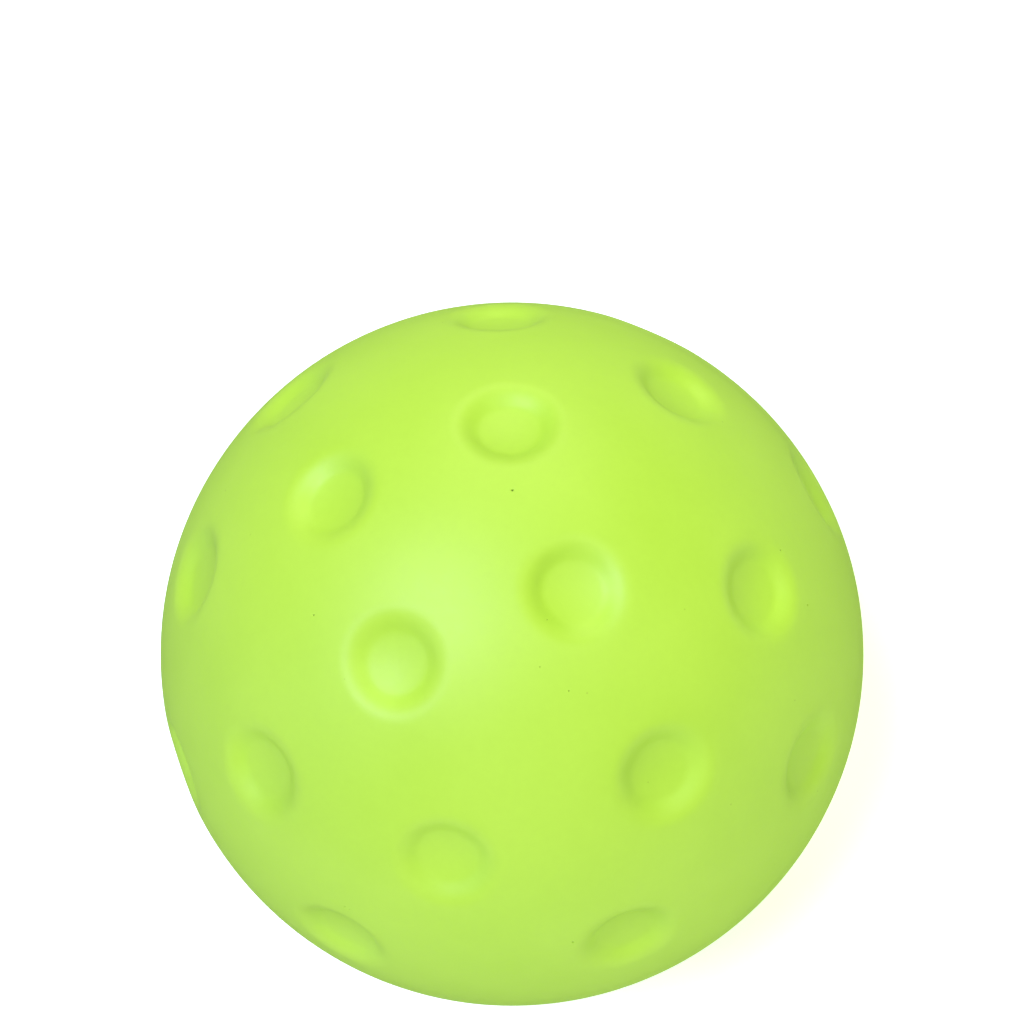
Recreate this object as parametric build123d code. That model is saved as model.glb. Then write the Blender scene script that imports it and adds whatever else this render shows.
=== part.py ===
from build123d import *
import math
import os

# Foam pickleball, millimetres.
# Origin: the ball's centre. +Z: the ball's pole, square to the mould's parting plane (z = 0).
# +X: the azimuth of one of the four dimples round the upper pole.
#
# The ball is moulded in two mould halves, and each half holds twenty dimples in rings.
# The lower half's rings lie nearer to its pole, which leaves a plain band below the parting plane.
# From outside in: a colour coat sprayed in each mould half, a dense integral skin, and a cellular core.
# Each layer's faces are exact parallel surfaces of the ball's outer surface.

# ---- driving dimensions --------------------------------------------------
BALL_DIAMETER = 74.0
COAT_THICKNESS = 0.20        # sprayed colour film
SKIN_THICKNESS = 1.00        # dense integral skin

# one dimple, measured on the ball's outer surface
DIMPLE_DEPTH = 1.67          # centre of the floor below the ball's sphere
DIMPLE_FLOOR_DISH_R = 13.9   # radius of the dished floor
DIMPLE_FLOOR_R = 3.12        # where the wall's line would meet the floor
DIMPLE_MOUTH_R = 4.89        # where the wall's line would meet the ball's sphere
DIMPLE_SHOULDER_R = 2.9      # rounding between the ball's sphere and the wall
DIMPLE_HEEL_R = 1.2          # rounding between the wall and the floor

# dimple rows: (polar angle in the upper half, polar angle in the lower half, first azimuth),
# each repeated every 90 degrees
DIMPLE_ROWS = [
    (21.20, 18.6, 0.0),
    (51.75, 44.2, 19.8),
    (50.60, 43.4, 66.9),
    (77.40, 66.9, 46.5),
    (76.80, 66.5, 88.4),
]
ROWS_REPEAT = 4
# The lower half's azimuths are the upper half's, turned over about a horizontal line at this azimuth,
# so its dimples sit between those of the upper half.
TURN_OVER_AZIMUTH = 33.7

R = BALL_DIAMETER / 2.0

# ---- the dimple's section: x from the dimple's axis, y along it from the ball's centre ----
FLOOR_C = (0.0, R - DIMPLE_DEPTH + DIMPLE_FLOOR_DISH_R)
MOUTH = (DIMPLE_MOUTH_R, math.sqrt(R ** 2 - DIMPLE_MOUTH_R ** 2))
HEEL = (DIMPLE_FLOOR_R, FLOOR_C[1] - math.sqrt(DIMPLE_FLOOR_DISH_R ** 2 - DIMPLE_FLOOR_R ** 2))
SLOPE = math.atan2(MOUTH[1] - HEEL[1], MOUTH[0] - HEEL[0])
ALONG = (math.cos(SLOPE), math.sin(SLOPE))
AIRWARD = (-math.sin(SLOPE), math.cos(SLOPE))


def on_offset_line(side, centre, distance):
    """The point `side` away from the wall's line on its air side, and `distance` from the centre."""
    px = MOUTH[0] + AIRWARD[0] * side - centre[0]
    py = MOUTH[1] + AIRWARD[1] * side - centre[1]
    b = px * ALONG[0] + py * ALONG[1]
    c = px * px + py * py - distance ** 2
    root = math.sqrt(b * b - c)
    s = min((-b - root, -b + root), key=abs)
    return (px + s * ALONG[0] + centre[0], py + s * ALONG[1] + centre[1])


SHOULDER_C = on_offset_line(-DIMPLE_SHOULDER_R, (0.0, 0.0), R - DIMPLE_SHOULDER_R)
HEEL_C = on_offset_line(DIMPLE_HEEL_R, FLOOR_C, DIMPLE_FLOOR_DISH_R - DIMPLE_HEEL_R)
DIMPLE_HALF_ANGLE = math.atan2(SHOULDER_C[0], SHOULDER_C[1])


def polar(centre, radius, angle):
    """A point at an angle from +y, turning towards +x, in the section's plane (XZ)."""
    return Vector(centre[0] + radius * math.sin(angle), 0, centre[1] + radius * math.cos(angle))


def dimple_faces(inset):
    """Floor, heel, wall and shoulder of a dimple at the pole, `inset` below the outer surface."""
    floor_r = DIMPLE_FLOOR_DISH_R + inset
    heel_r = DIMPLE_HEEL_R + inset
    shoulder_r = DIMPLE_SHOULDER_R - inset
    a_heel = math.atan2(HEEL_C[0] - FLOOR_C[0], HEEL_C[1] - FLOOR_C[1])   # floor meets heel
    a_wall = math.atan2(-AIRWARD[0], -AIRWARD[1])                         # heel meets wall
    a_top = math.atan2(AIRWARD[0], AIRWARD[1])                            # wall meets shoulder
    a_rim = DIMPLE_HALF_ANGLE                                            # shoulder meets sphere
    p0 = polar(FLOOR_C, floor_r, math.pi)
    p1 = polar(FLOOR_C, floor_r, a_heel)
    p2 = polar(HEEL_C, heel_r, a_wall)
    p3 = polar(SHOULDER_C, shoulder_r, a_top)
    p4 = polar(SHOULDER_C, shoulder_r, a_rim)
    m01 = polar(FLOOR_C, floor_r, (math.pi + a_heel) / 2)
    m12 = polar(HEEL_C, heel_r, (a_heel + a_wall) / 2)
    m34 = polar(SHOULDER_C, shoulder_r, (a_top + a_rim) / 2)
    edges = [
        Edge.make_three_point_arc(p0, m01, p1),
        Edge.make_three_point_arc(p1, m12, p2),
        Edge.make_line(p2, p3),
        Edge.make_three_point_arc(p3, m34, p4),
    ]
    return [Face.revolve(e, 360, Axis.Z) for e in edges]


def dimple_directions():
    """Unit directions of the twenty upper and the twenty lower dimples."""
    upper, lower = [], []
    for upper_tilt, lower_tilt, azimuth in DIMPLE_ROWS:
        for k in range(ROWS_REPEAT):
            t, u = math.radians(upper_tilt), math.radians(lower_tilt)
            a = math.radians(azimuth + 360.0 / ROWS_REPEAT * k)
            b = 2.0 * math.radians(TURN_OVER_AZIMUTH) - a
            upper.append(Vector(math.sin(t) * math.cos(a), math.sin(t) * math.sin(a), math.cos(t)))
            lower.append(Vector(math.sin(u) * math.cos(b), math.sin(u) * math.sin(b), -math.cos(u)))
    return upper, lower


UPPER, LOWER = dimple_directions()

# The spheres' seam runs at the turn-over azimuth, where neither half has a dimple.
SEAM = math.radians(TURN_OVER_AZIMUTH)
SEAM_PLANE = Plane(origin=(0, 0, 0), x_dir=(math.cos(SEAM), math.sin(SEAM), 0), z_dir=(0, 0, 1))


def placed_dimples(directions, inset):
    """The faces of every dimple, and the rim circle of each as a wire."""
    pattern = dimple_faces(inset)
    rim_length = 2 * math.pi * (R - inset) * math.sin(DIMPLE_HALF_ANGLE)
    faces, rims = [], []
    for d in directions:
        place = Plane(origin=(0, 0, 0), z_dir=d).location
        moved = [place * f for f in pattern]
        rim = min(moved[-1].edges(), key=lambda e: abs(e.length - rim_length))
        faces += moved
        rims.append(Wire([rim]))
    return faces, rims


def sphere_face(inset, low, high):
    """The ball's sphere between two latitudes, `inset` below the outer surface."""
    solid = Solid.make_sphere(R - inset, SEAM_PLANE, angle1=low, angle2=high, angle3=360)
    return [f for f in solid.faces() if f.geom_type == GeomType.SPHERE][0]


def closed(faces, volume):
    """The solid that the faces enclose, tested against a rough volume."""
    solid = Solid(Shell(faces))
    if not solid.is_valid or abs(solid.volume / volume - 1) > 0.05:
        raise ValueError("the faces don't enclose the solid")
    return solid


def layer_half(directions, up, outset, inset):
    """One half of the layer between two insets, with its dimples on both faces."""
    low, high = (0, 90) if up else (-90, 0)
    faces, equators = [], []
    for depth in (outset, inset):
        dimples, rims = placed_dimples(directions, depth)
        ball = sphere_face(depth, low, high)
        equator = max((e for e in ball.edges() if e.geom_type == GeomType.CIRCLE
                       and abs(e.bounding_box().size.Z) < 1e-6), key=lambda e: e.length)
        faces += [ball.make_holes(rims)] + dimples
        equators.append(Wire([equator]))
    faces.append(Face(equators[0], [equators[1]]))
    thickness = inset - outset
    return closed(faces, 2 * math.pi * (R - (outset + inset) / 2) ** 2 * thickness)


def whole(inset):
    """The whole ball inside a layer."""
    dimples, rims = placed_dimples(UPPER + LOWER, inset)
    return closed([sphere_face(inset, -90, 90).make_holes(rims)] + dimples,
                  4 / 3 * math.pi * (R - inset) ** 3)


under_skin = COAT_THICKNESS + SKIN_THICKNESS
nodes = {
    "upper_colour_coat": layer_half(UPPER, True, 0.0, COAT_THICKNESS),
    "lower_colour_coat": layer_half(LOWER, False, 0.0, COAT_THICKNESS),
    "upper_skin": layer_half(UPPER, True, COAT_THICKNESS, under_skin),
    "lower_skin": layer_half(LOWER, False, COAT_THICKNESS, under_skin),
    "foam_core": whole(under_skin),
}

os.makedirs("parts", exist_ok=True)
for name, shape in nodes.items():
    shape.label = name
    export_step(shape, "parts/%s.step" % name)
    print(name, round(shape.volume, 2), len(shape.faces()), shape.is_valid)
print("dimple half angle", round(math.degrees(DIMPLE_HALF_ANGLE), 3), "wall slope", round(math.degrees(SLOPE), 2))
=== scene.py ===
import math
import random

import bpy
import numpy as np
from mathutils import Matrix, Vector, noise
from mathutils.geometry import delaunay_2d_cdt


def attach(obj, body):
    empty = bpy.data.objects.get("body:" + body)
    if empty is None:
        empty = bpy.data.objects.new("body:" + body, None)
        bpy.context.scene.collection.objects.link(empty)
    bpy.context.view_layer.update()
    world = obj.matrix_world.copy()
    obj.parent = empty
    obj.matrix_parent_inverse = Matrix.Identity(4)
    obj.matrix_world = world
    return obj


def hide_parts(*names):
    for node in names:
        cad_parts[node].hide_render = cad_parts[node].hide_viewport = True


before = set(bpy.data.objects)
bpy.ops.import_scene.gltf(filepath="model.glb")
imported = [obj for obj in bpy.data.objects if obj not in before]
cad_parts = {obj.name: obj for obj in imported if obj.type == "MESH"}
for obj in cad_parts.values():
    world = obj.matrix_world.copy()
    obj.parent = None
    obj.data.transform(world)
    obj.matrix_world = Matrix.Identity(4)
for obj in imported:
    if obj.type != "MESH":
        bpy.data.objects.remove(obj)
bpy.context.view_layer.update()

MM = 0.001
R = 37.0                      # ball radius, mm
COAT = 0.20
SKIN = 1.00
RELIEF = 0.012                # height of the slow waves in the skin, mm
# rings of four dimples: polar angle in the upper half, polar angle in the lower half, first azimuth (degrees)
ROWS = [(21.20, 18.6, 0.0), (51.75, 44.2, 19.8), (50.60, 43.4, 66.9), (77.40, 66.9, 46.5), (76.80, 66.5, 88.4)]
TURN_OVER = math.radians(33.7)
# one dimple: dished floor out to R_FLOOR, soft wall and shoulder out to R_RIM (radians), depth and dish as shares of R
R_FLOOR, R_RIM, DEPTH, DISH, EASE = 0.0845, 0.1715, 0.0450, 3.45, 0.79


# ---------------------------------------------------------------- geometry
def unit(a):
    a = np.asarray(a, float)
    return a / np.linalg.norm(a, axis=-1, keepdims=True)


def turned_over(p):
    """Half a turn about the horizontal line at azimuth TURN_OVER."""
    c, s = math.cos(2 * TURN_OVER), math.sin(2 * TURN_OVER)
    p = np.asarray(p, float)
    return np.stack([c * p[..., 0] + s * p[..., 1], s * p[..., 0] - c * p[..., 1], -p[..., 2]], -1)


UP, LOW = [], []              # LOW is the lower half's pattern before it is turned over
for tilt, low_tilt, az in ROWS:
    for k in range(4):
        a = math.radians(az + 90 * k)
        for half, t in ((UP, math.radians(tilt)), (LOW, math.radians(low_tilt))):
            half.append((math.sin(t) * math.cos(a), math.sin(t) * math.sin(a), math.cos(t)))
UP, LOW = np.array(UP), np.array(LOW)
DOWN = turned_over(LOW)
DIMPLES = np.concatenate([UP, DOWN])

# each dimple differs a little, as moulded foam does
_rng = np.random.default_rng(40)
WOBBLE = np.stack([
    _rng.uniform(0.000, 0.020, 40), _rng.uniform(0, 2 * math.pi, 40),
    _rng.uniform(0.000, 0.014, 40), _rng.uniform(0, 2 * math.pi, 40),
    _rng.uniform(0.96, 1.03, 40), _rng.uniform(-0.006, 0.006, 40), _rng.uniform(-0.006, 0.006, 40),
], 1)

# burst bubbles in the skin: unit direction, radius and depth in mm
PITS = []
PIT_DIRECTIONS = [
    (0.3096, -0.2146, 0.9263), (0.3107, 0.1966, 0.9300), (0.6117, -0.6386, 0.4670),
]


def fbm(points, scale, octaves=2, offset=(0, 0, 0)):
    o = Vector(offset)
    out = np.empty(len(points))
    for i, p in enumerate(points):
        v = Vector(p) * scale + o
        h = noise.noise(v)
        if octaves > 1:
            h += 0.5 * noise.noise(v * 2.03)
        out[i] = h
    return out


def dimple_cut(d):
    """How far below the ball's sphere a direction lies, as a share of R."""
    cut = np.zeros(len(d))
    dots = d @ DIMPLES.T
    near = dots.argmax(1)
    close = np.nonzero(dots.max(1) > math.cos(R_RIM * 1.08))[0]
    if not len(close):
        return cut
    j = near[close]
    axis = DIMPLES[j]
    ref = unit(np.cross(axis, np.array([0.31, 0.52, 0.79])))
    side = np.cross(axis, ref)
    q = d[close]
    x, y = (q * ref).sum(1), (q * side).sum(1)
    w = WOBBLE[j]
    # the wobble moves the shoulder more than the floor
    theta = np.arctan2(np.hypot(x, y), (q * axis).sum(1))
    phi = np.arctan2(y, x)
    theta_w = theta * (1 + w[:, 0] * np.cos(2 * (phi - w[:, 1])) + w[:, 2] * np.cos(3 * (phi - w[:, 3])))
    s = np.clip((theta_w - R_FLOOR) / (R_RIM - R_FLOOR), 0, 1) ** EASE
    weight = 1 - s * s * (3 - 2 * s)
    floor = DEPTH * w[:, 4] - DISH * (1 / np.cos(np.minimum(theta, 0.35)) - 1)
    tip = (w[:, 5] * x + w[:, 6] * y)
    cut[close] = np.maximum((floor + tip * 0.5) * weight, 0)
    return cut


def surface(d, inset, relief=True):
    """Points of the ball's surface, `inset` mm below the outer one, for unit directions."""
    r = R * (1 - dimple_cut(d)) - inset
    if relief:
        r = r - RELIEF * (1 + 0.62 * np.clip(fbm(d * R, 1 / 7.0, 2), -1.6, 1.6))
    return d * r[:, None]


def angle_between(a, b):
    return np.arccos(np.clip((a * b).sum(-1), -1, 1))


def tangent_frame(d):
    ref = unit(np.cross(d, (0.13, 0.97, 0.21)))
    return ref, np.cross(d, ref)


def ring_about(d, angle, n, twist=0.0):
    a, b = tangent_frame(np.asarray(d, float))
    t = np.arange(n) * 2 * math.pi / n + twist
    return (math.cos(angle) * np.asarray(d)[None]
            + math.sin(angle) * (np.cos(t)[:, None] * a + np.sin(t)[:, None] * b))


def half_directions(spacing, fine, dimples, pits, equator):
    """Unit directions over the upper half: a rim at z = 0, rings in each dimple, and an even spread between."""
    rows = [np.stack([np.cos(TURN_OVER + np.arange(equator) * 2 * math.pi / equator),
                      np.sin(TURN_OVER + np.arange(equator) * 2 * math.pi / equator),
                      np.zeros(equator)], 1)]
    for i, z in enumerate((0.26, 0.62)):
        t = TURN_OVER + (np.arange(equator) + 0.5 * ((i + 1) % 2)) * 2 * math.pi / equator
        zz = z / R
        rows.append(np.stack([np.cos(t) * math.sqrt(1 - zz * zz), np.sin(t) * math.sqrt(1 - zz * zz),
                              np.full(equator, zz)], 1))
    zone = math.radians(10.4)
    count = int(2 * math.pi * R * R / (spacing ** 2 * 0.866))
    i = np.arange(count)
    z = (i + 0.5) / count
    t = i * math.pi * (3 - math.sqrt(5))
    spread = np.stack([np.cos(t) * np.sqrt(1 - z * z), np.sin(t) * np.sqrt(1 - z * z), z], 1)
    keep = (spread @ dimples.T).max(1) < math.cos(zone + 0.35 * spacing / R)
    keep &= spread[:, 2] * R > 0.62 + 0.6 * spacing
    spread = spread[keep]
    steps = max(2, int(round(zone * R / fine)))
    inner = []
    for d in dimples:
        inner.append(np.asarray(d)[None])
        for k in range(1, steps + 1):
            a = zone * k / steps
            n = max(6, int(round(2 * math.pi * R * math.sin(a) / (fine * 1.08))))
            inner.append(ring_about(d, a, n, twist=k * 2.399))
    points = np.concatenate([spread] + inner)
    tight = []
    for d, radius, depth in pits:
        points = points[points @ np.asarray(d) < math.cos((radius * 1.9) / R)]
        tight.append(np.asarray(d)[None])
        for k, f in enumerate((0.35, 0.7, 1.0, 1.3, 1.65)):
            tight.append(ring_about(d, radius * f / R, 8 + 2 * k, twist=k * 0.7))
    return np.concatenate(rows + [points] + tight)


def triangulate(d):
    """Triangles over the upper half, by Delaunay triangulation of its stereographic map. They face outwards."""
    flat = [Vector((p[0] / (1 + p[2]), p[1] / (1 + p[2]))) for p in d]
    verts, _, faces, original, _, _ = delaunay_2d_cdt(flat, [], [], 0, 1e-7)
    index = [o[0] for o in original]
    assert len(verts) == len(flat), (len(verts), len(flat))
    tris = np.array([[index[a] for a in f] for f in faces if len(f) == 3])
    p = d[tris]
    n = np.cross(p[:, 1] - p[:, 0], p[:, 2] - p[:, 0])
    flip = (n * p.mean(1)).sum(1) < 0
    tris[flip] = tris[flip][:, ::-1]
    return tris


def dig_pits(points, d, pits):
    """Lowers the points inside each burst bubble and gives how deep in one each point is."""
    deep = np.zeros(len(points))
    for c, radius, depth in pits:
        a = angle_between(d, np.asarray(c)[None]) * R / radius
        w = np.clip(1.25 - a, 0, 1)
        w = w * w * (3 - 2 * w)
        points = points - d * (depth * w)[:, None]
        deep = np.maximum(deep, w)
    return points, deep


def make_mesh(name, verts_mm, faces, attribute=None, smooth=True):
    me = bpy.data.meshes.new(name)
    me.from_pydata([tuple(v) for v in (np.asarray(verts_mm) * MM)], [], [tuple(int(i) for i in f) for f in faces])
    me.validate()
    me.polygons.foreach_set("use_smooth", [smooth] * len(me.polygons))
    if attribute is not None:
        a = me.attributes.new("pit", "FLOAT", "POINT")
        a.data.foreach_set("value", np.asarray(attribute, np.float32))
    me.update()
    ob = bpy.data.objects.new(name, me)
    bpy.context.scene.collection.objects.link(ob)
    return ob


def half_shell(name, up, outer, inner, equator, pits=(), outer_relief=True):
    """A closed half-ball shell: outer = (directions, triangles, inset), inner the same. The rims share the equator's points."""
    d_out, t_out, inset_out = outer
    d_in, t_in, inset_in = inner
    place = (lambda p: p) if up else turned_over
    a = place(d_out)
    b = place(d_in)
    po = surface(a, inset_out, outer_relief)
    po[:equator, 2] = 0.0
    po, deep = dig_pits(po, a, pits)
    pi = surface(b, inset_in, outer_relief)
    pi[:equator, 2] = 0.0
    n = len(po)
    faces = list(t_out) + list(t_in[:, ::-1] + n)
    # the flat ring at the parting plane
    for i in range(equator):
        j = (i + 1) % equator
        faces.append((j, i, n + i, n + j))
    attribute = np.concatenate([deep, np.zeros(len(pi))])
    ob = make_mesh(name, np.concatenate([po, pi]), faces, attribute)
    me = ob.data
    # keep the flat ring's edges sharp, so the outer face shades as one surface
    ring = len(me.polygons) - equator
    flags = np.ones(len(me.polygons), bool)
    flags[ring:] = False
    me.polygons.foreach_set("use_smooth", flags)
    sharp = me.attributes.get("sharp_edge") or me.attributes.new("sharp_edge", "BOOLEAN", "EDGE")
    values = np.zeros(len(me.edges), bool)
    ev = np.zeros(len(me.edges) * 2, int)
    me.edges.foreach_get("vertices", ev)
    ev = ev.reshape(-1, 2)
    on_rim = lambda v: (v < equator) | ((v >= n) & (v < n + equator))
    values[on_rim(ev[:, 0]) & on_rim(ev[:, 1])] = True
    sharp.data.foreach_set("value", values)
    return ob


# ---------------------------------------------------------------- nodes
class Nodes:
    """A short way to write a node tree."""

    def __init__(self, name):
        self.mat = bpy.data.materials.new(name)
        self.mat.use_nodes = True
        self.t = self.mat.node_tree
        self.t.nodes.clear()
        self.out = self.t.nodes.new("ShaderNodeOutputMaterial")
        self.bsdf = self.t.nodes.new("ShaderNodeBsdfPrincipled")
        self.t.links.new(self.bsdf.outputs[0], self.out.inputs["Surface"])
        self.coord = self.t.nodes.new("ShaderNodeTexCoord").outputs["Object"]

    def link(self, a, b):
        self.t.links.new(a, b)

    def noise(self, scale_per_m, detail=3.0, roughness=0.55, distortion=0.0):
        n = self.t.nodes.new("ShaderNodeTexNoise")
        n.inputs["Scale"].default_value = scale_per_m
        n.inputs["Detail"].default_value = detail
        n.inputs["Roughness"].default_value = roughness
        n.inputs["Distortion"].default_value = distortion
        self.link(self.coord, n.inputs["Vector"])
        return n.outputs["Fac"]

    def voronoi(self, scale_per_m, feature="F1", randomness=1.0, output="Distance"):
        n = self.t.nodes.new("ShaderNodeTexVoronoi")
        n.feature = feature
        n.inputs["Scale"].default_value = scale_per_m
        n.inputs["Randomness"].default_value = randomness
        self.link(self.coord, n.inputs["Vector"])
        return n.outputs[output]

    def ramp(self, value, stops):
        n = self.t.nodes.new("ShaderNodeValToRGB")
        while len(n.color_ramp.elements) < len(stops):
            n.color_ramp.elements.new(0.5)
        for e, (at, colour) in zip(n.color_ramp.elements, stops):
            e.position = at
            e.color = (*colour, 1.0) if len(colour) == 3 else colour
        self.link(value, n.inputs["Fac"])
        return n.outputs["Color"]

    def remap(self, value, a, b, c, d):
        n = self.t.nodes.new("ShaderNodeMapRange")
        n.inputs["From Min"].default_value = a
        n.inputs["From Max"].default_value = b
        n.inputs["To Min"].default_value = c
        n.inputs["To Max"].default_value = d
        self.link(value, n.inputs["Value"])
        return n.outputs["Result"]

    def math(self, op, a, b):
        n = self.t.nodes.new("ShaderNodeMath")
        n.operation = op
        for s, v in zip(n.inputs, (a, b)):
            if isinstance(v, (int, float)):
                s.default_value = v
            else:
                self.link(v, s)
        return n.outputs[0]

    def mix(self, fac, a, b, mode="MIX"):
        n = self.t.nodes.new("ShaderNodeMix")
        n.data_type = "RGBA"
        n.blend_type = mode
        for s, v in ((n.inputs[0], fac), (n.inputs[6], a), (n.inputs[7], b)):
            if isinstance(v, (int, float)):
                s.default_value = v
            elif isinstance(v, tuple):
                s.default_value = (*v, 1.0)
            else:
                self.link(v, s)
        return n.outputs[2]

    def bump(self, height, distance_m, strength=1.0, onto=None):
        n = self.t.nodes.new("ShaderNodeBump")
        n.inputs["Strength"].default_value = strength
        n.inputs["Distance"].default_value = distance_m
        self.link(height, n.inputs["Height"])
        if onto is not None:
            self.link(onto, n.inputs["Normal"])
        return n.outputs["Normal"]

    def attribute(self, name):
        n = self.t.nodes.new("ShaderNodeAttribute")
        n.attribute_name = name
        return n.outputs["Fac"]


BASE = (0.420, 0.696, 0.046)


def shade(c, k):
    return tuple(min(1.0, x * k) for x in c)


def coat_material():
    m = Nodes("satin_lime_coat")
    slow = m.noise(95.0, 2.0, 0.5)          # about 10 mm
    mottle = m.noise(1100.0, 3.0, 0.6)      # about 1 mm
    grain = m.noise(4200.0, 2.0, 0.6)       # about 0.25 mm
    tint = m.ramp(slow, [(0.30, (BASE[0] * 0.975, BASE[1] * 0.985, BASE[2] * 0.93)),
                         (0.70, (BASE[0] * 1.015, BASE[1] * 1.010, BASE[2] * 1.06))])
    fine = m.remap(mottle, 0.25, 0.75, 0.985, 1.012)
    n = m.t.nodes.new("ShaderNodeVectorMath")
    n.operation = "SCALE"
    m.link(tint, n.inputs[0])
    m.link(fine, n.inputs["Scale"])
    colour = n.outputs[0]
    # sparse specks where the coat is thin
    speck = m.voronoi(420.0)
    speck = m.math("LESS_THAN", speck, 0.042)
    gate = m.math("GREATER_THAN", m.noise(260.0, 1.0, 0.5), 0.60)
    speck = m.math("MULTIPLY", speck, gate)
    colour = m.mix(m.math("MULTIPLY", speck, 0.35), colour, (0.21, 0.36, 0.02))
    # painted shade: the coat's colour is darkened towards the bottom of each burst bubble, a dark copy of the lime
    # standing in for the shade inside the hole
    pit = m.attribute("pit")
    colour = m.mix(m.remap(pit, 0.15, 0.9, 0.0, 0.78), colour, (0.085, 0.120, 0.012))
    m.link(colour, m.bsdf.inputs["Base Color"])
    rough = m.math("ADD", m.remap(mottle, 0.25, 0.75, 0.47, 0.53), m.remap(grain, 0.3, 0.7, -0.015, 0.015))
    m.link(m.math("ADD", rough, m.remap(pit, 0, 1, 0, 0.3)), m.bsdf.inputs["Roughness"])
    b = m.bump(grain, 0.0000022)
    b = m.bump(mottle, 0.0000085, onto=b)
    m.link(b, m.bsdf.inputs["Normal"])
    m.bsdf.inputs["IOR"].default_value = 1.47
    m.bsdf.inputs["Specular IOR Level"].default_value = 0.5
    return m.mat


def skin_material():
    m = Nodes("dense_foam_skin")
    a = m.noise(700.0, 4.0, 0.6)
    cells = m.voronoi(2600.0)
    colour = m.ramp(a, [(0.3, (0.55, 0.66, 0.24)), (0.7, (0.68, 0.78, 0.34))])
    colour = m.mix(m.remap(cells, 0.0, 0.5, 0.35, 0.0), colour, (0.40, 0.48, 0.16))
    m.link(colour, m.bsdf.inputs["Base Color"])
    m.link(m.remap(a, 0.2, 0.8, 0.62, 0.78), m.bsdf.inputs["Roughness"])
    m.link(m.bump(cells, 0.00003, 0.5), m.bsdf.inputs["Normal"])
    return m.mat


def foam_material():
    m = Nodes("cellular_foam")
    cells = m.voronoi(1500.0)
    small = m.voronoi(4200.0)
    tone = m.noise(240.0, 3.0, 0.6)
    colour = m.ramp(tone, [(0.3, (0.72, 0.72, 0.50)), (0.7, (0.83, 0.82, 0.62))])
    colour = m.mix(m.remap(cells, 0.05, 0.45, 0.55, 0.0), colour, (0.42, 0.40, 0.22))
    m.link(colour, m.bsdf.inputs["Base Color"])
    m.link(m.remap(small, 0.0, 0.6, 0.95, 0.8), m.bsdf.inputs["Roughness"])
    b = m.bump(small, 0.00006, 0.6)
    m.link(m.bump(cells, 0.0002, 0.7, onto=b), m.bsdf.inputs["Normal"])
    return m.mat


def floor_material():
    m = Nodes("pale_floor")
    a = m.noise(9.0, 4.0, 0.6)
    m.link(m.ramp(a, [(0.3, (0.90, 0.90, 0.90)), (0.7, (0.915, 0.915, 0.915))]), m.bsdf.inputs["Base Color"])
    m.link(m.remap(a, 0.3, 0.7, 0.75, 0.85), m.bsdf.inputs["Roughness"])
    m.bsdf.inputs["Specular IOR Level"].default_value = 0.1
    # a shooting table lit from below, which softens the ball's shadow; it is brighter where the softboxes don't reach
    m.bsdf.inputs["Emission Color"].default_value = (0.88, 1.0, 0.97, 1.0)
    reach = m.t.nodes.new("ShaderNodeVectorMath")
    reach.operation = "LENGTH"
    m.link(m.coord, reach.inputs[0])
    m.link(m.remap(reach.outputs["Value"], 0.5, 2.2, 0.52, 1.15), m.bsdf.inputs["Emission Strength"])
    return m.mat


# ---------------------------------------------------------------- camera
# axes of the view in the ball's frame: right, up, and towards the camera
RIGHT = Vector((0.8934, 0.4160, -0.1696)).normalized()
TO_CAM = Vector((0.2793, -0.2186, 0.9350))
TO_CAM = (TO_CAM - RIGHT * TO_CAM.dot(RIGHT)).normalized()
TOP = TO_CAM.cross(RIGHT)
DISTANCE = 10.0 * R * MM
FOCAL = 122.90
TILT = math.radians(2.303)      # the view is aimed above the ball, so the ball sits low in the picture

cam_data = bpy.data.cameras.new("camera")
cam = bpy.data.objects.new("camera", cam_data)
bpy.context.scene.collection.objects.link(cam)
cam_data.sensor_width = 36.0
cam_data.lens = FOCAL
cam_data.clip_start, cam_data.clip_end = 0.01, 20.0
cam_data.dof.use_dof = False
axes = Matrix((RIGHT, TOP, TO_CAM)).transposed()
axes = axes @ Matrix.Rotation(TILT, 3, "X")
cam.matrix_world = Matrix.Translation(TO_CAM * DISTANCE) @ axes.to_4x4()
bpy.context.scene.camera = cam


def from_view(v):
    """A direction given as (right, up, towards the camera), in the ball's frame."""
    return (RIGHT * v[0] + TOP * v[1] + TO_CAM * v[2]).normalized()


def to_row(px, py):
    """The direction of the ball's surface seen at a point of the 1024 x 1024 picture."""
    f = FOCAL / 36 * 1024
    ray = axes @ Vector(((px - 512) / f, -(py - 512) / f, -1)).normalized()
    o = TO_CAM * DISTANCE
    b = o.dot(ray)
    c = o.length_squared - (R * MM) ** 2
    s = -b - math.sqrt(max(b * b - c, 0))
    return (o + ray * s).normalized()


# ---------------------------------------------------------------- burst bubbles
seen = [(512.5, 490.0, 0.13), (573.0, 942.5, 0.13), (313.5, 615.0, 0.09), (781.0, 550.0, 0.09), (808.0, 605.0, 0.09),
        (569.0, 691.0, 0.07), (540.0, 667.0, 0.06), (548.0, 619.0, 0.06), (345.0, 907.0, 0.07), (349.0, 909.5, 0.06)]
for x, y, r in seen:
    PITS.append((tuple(to_row(x, y)), r, r * 1.5))
_r = random.Random(7)
while len(PITS) < 34:
    z = _r.uniform(-1, 1)
    t = _r.uniform(0, 2 * math.pi)
    v = Vector((math.sqrt(1 - z * z) * math.cos(t), math.sqrt(1 - z * z) * math.sin(t), z))
    size = _r.uniform(0.06, 0.12)
    if v.dot(TO_CAM) > 0.05 or abs(v.z) < 0.05:
        continue
    if max(v.dot(Vector(d)) for d in DIMPLES) > math.cos(math.radians(3)):
        continue
    PITS.append((tuple(v), size, size * 1.5))
up_pits = [p for p in PITS if p[0][2] > 0.03]
down_pits = [p for p in PITS if p[0][2] < -0.03]

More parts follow.
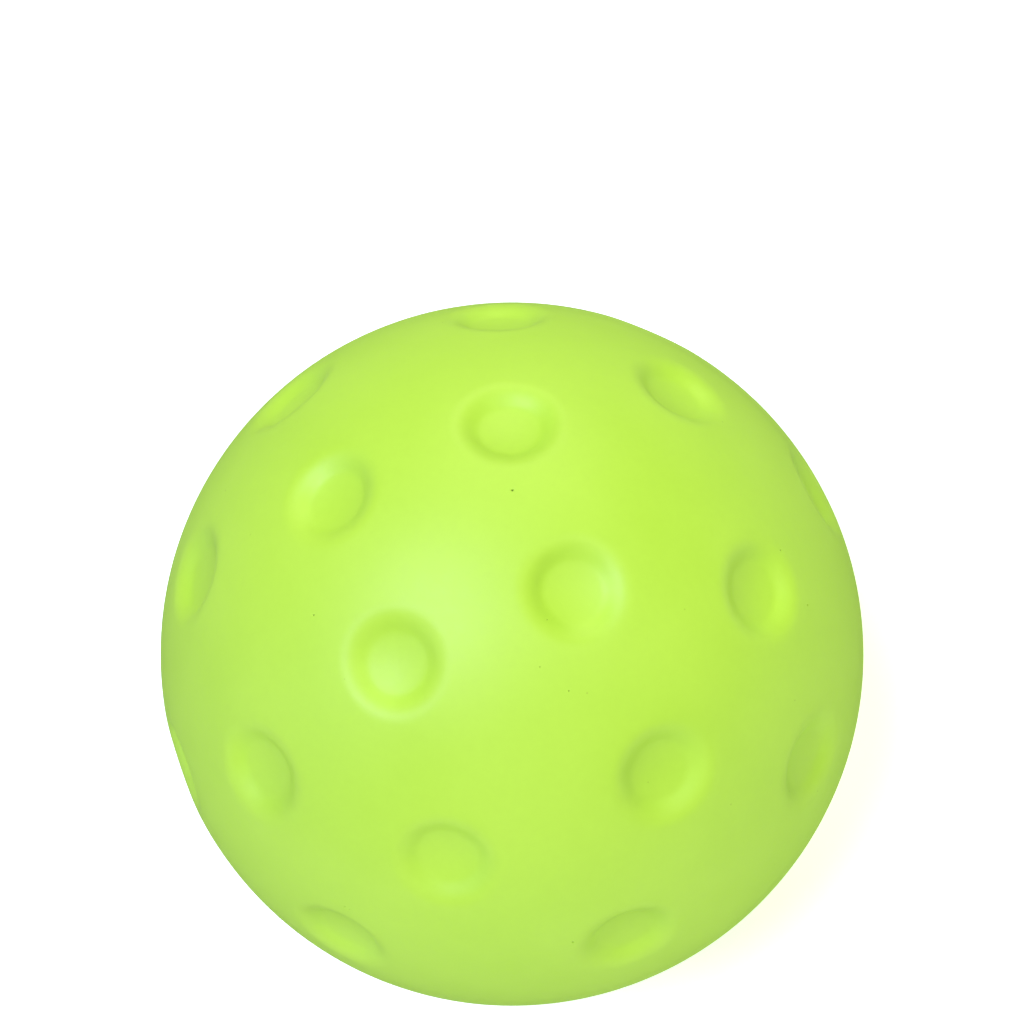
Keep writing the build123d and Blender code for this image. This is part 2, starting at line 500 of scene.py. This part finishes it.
# ---------------------------------------------------------------- pieces
EQ = 640
spacing, fine = ((0.50, 0.34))
coarse = {}
for up, local in ((True, UP), (False, LOW)):
    d = half_directions(1.05, 0.75, local, [], EQ)
    coarse[up] = (d, triangulate(d))


def flipped(pits):
    return [(tuple(turned_over(np.array(c))), r, h) for c, r, h in pits]


pieces = {}
for name, up, pits, node in (("coat_upper", True, up_pits, "upper_colour_coat"),
                             ("coat_lower", False, down_pits, "lower_colour_coat")):
    local = pits if up else flipped(pits)
    d = half_directions(spacing, fine, UP if up else LOW, local, EQ)
    t = triangulate(d)
    ob = half_shell(name, up, (d, t, 0.0), (*coarse[up], COAT), EQ, pits)
    pieces[name] = (ob, node)
for name, up, node in (("skin_upper", True, "upper_skin"), ("skin_lower", False, "lower_skin")):
    ob = half_shell(name, up, (*coarse[up], COAT), (*coarse[up], COAT + SKIN), EQ)
    pieces[name] = (ob, node)

up_p = surface(coarse[True][0], COAT + SKIN)
down_p = surface(turned_over(coarse[False][0]), COAT + SKIN)
up_p[:EQ, 2] = 0
down_p[:EQ, 2] = 0
n = len(up_p)
# the two halves of the core share the points on the parting plane
joined = np.concatenate([(-np.arange(EQ)) % EQ, np.arange(n, n + len(down_p) - EQ)])
verts = np.concatenate([up_p, down_p[EQ:]])
faces = [tuple(f) for f in coarse[True][1]] + [tuple(int(joined[i]) for i in f) for f in coarse[False][1]]
core = make_mesh("core_foam", verts, faces)
pieces["core_foam"] = (core, "foam_core")

coat, skin, foam = coat_material(), skin_material(), foam_material()
for name, (ob, node) in pieces.items():
    kind = name.split("_")[0]
    ob.data.materials.append({"coat": coat, "skin": skin, "core": foam}[kind])
    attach(ob, "root")
    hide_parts(node)
for node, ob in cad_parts.items():
    ob.data.materials.clear()
    ob.data.materials.append(coat if "coat" in node else foam if "core" in node else skin)

# ---------------------------------------------------------------- stage
floor_z = -R * MM
steps = 96
rings = [0.0, 0.05, 0.15, 0.4, 1.0, 2.5, 6.0]
fv = [(0, 0, floor_z)]
for r in rings[1:]:
    for k in range(steps):
        a = 2 * math.pi * k / steps
        fv.append((r * math.cos(a), r * math.sin(a), floor_z))
ff = [(0, 1 + k, 1 + (k + 1) % steps) for k in range(steps)]
for i in range(len(rings) - 2):
    a, b = 1 + i * steps, 1 + (i + 1) * steps
    for k in range(steps):
        j = (k + 1) % steps
        ff.append((a + k, b + k, b + j, a + j))
fm = bpy.data.meshes.new("floor")
fm.from_pydata(fv, [], ff)
floor = bpy.data.objects.new("floor", fm)
bpy.context.scene.collection.objects.link(floor)
fm.materials.append(floor_material())
floor.visible_glossy = False      # keeps the table's glare off the ball's satin edge

# ---------------------------------------------------------------- light
# The room is white to the eye and dim as a light, so the shape is drawn by the softboxes and the floor's bounce.
world = bpy.data.worlds.new("studio")
bpy.context.scene.world = world
world.use_nodes = True
wt = world.node_tree
bg = wt.nodes["Background"]
bg.inputs["Color"].default_value = (1.0, 1.0, 1.0, 1.0)
bg.inputs["Strength"].default_value = 0.05
seen_bg = wt.nodes.new("ShaderNodeBackground")
seen_bg.inputs["Color"].default_value = (1.0, 1.0, 1.0, 1.0)
seen_bg.inputs["Strength"].default_value = 1.0
path = wt.nodes.new("ShaderNodeLightPath")
both = wt.nodes.new("ShaderNodeMixShader")
wt.links.new(path.outputs["Is Camera Ray"], both.inputs[0])
wt.links.new(bg.outputs[0], both.inputs[1])
wt.links.new(seen_bg.outputs[0], both.inputs[2])
wt.links.new(both.outputs[0], wt.nodes["World Output"].inputs["Surface"])


def softbox(name, view_direction, distance, size, power, colour=(1, 1, 1)):
    light = bpy.data.lights.new(name, "AREA")
    light.shape = "DISK"
    light.size = size
    light.energy = power
    light.color = colour
    ob = bpy.data.objects.new(name, light)
    d = from_view(view_direction)
    ob.location = d * distance
    ob.rotation_mode = "QUATERNION"
    ob.rotation_quaternion = d.to_track_quat("Z", "Y")
    bpy.context.scene.collection.objects.link(ob)
    return ob


FAR, WIDE, UNIT = 4.0, 2.46, 94.7
COOL, WARM = (0.97, 0.98, 1.50), (1.02, 1.01, 0.68)
softbox("key", (-0.40, 0.20, 0.89), FAR, WIDE, 1.40 * UNIT, COOL)
softbox("fill", (0.44, 0.10, 0.89), FAR, WIDE, 0.50 * UNIT, WARM)
softbox("front", (0.08, -0.66, 0.72), FAR, WIDE, 0.34 * UNIT, WARM)
softbox("top", (0.05, 0.93, 0.35), FAR, WIDE, 0.74 * UNIT, WARM)
softbox("side", (-0.85, -0.25, 0.45), FAR, WIDE, 0.13 * UNIT, (0.7, 1.0, 2.4))

view = bpy.context.scene.view_settings
view.view_transform = "Standard"
view.look = "None"
view.exposure = 0.0
view.gamma = 1.0
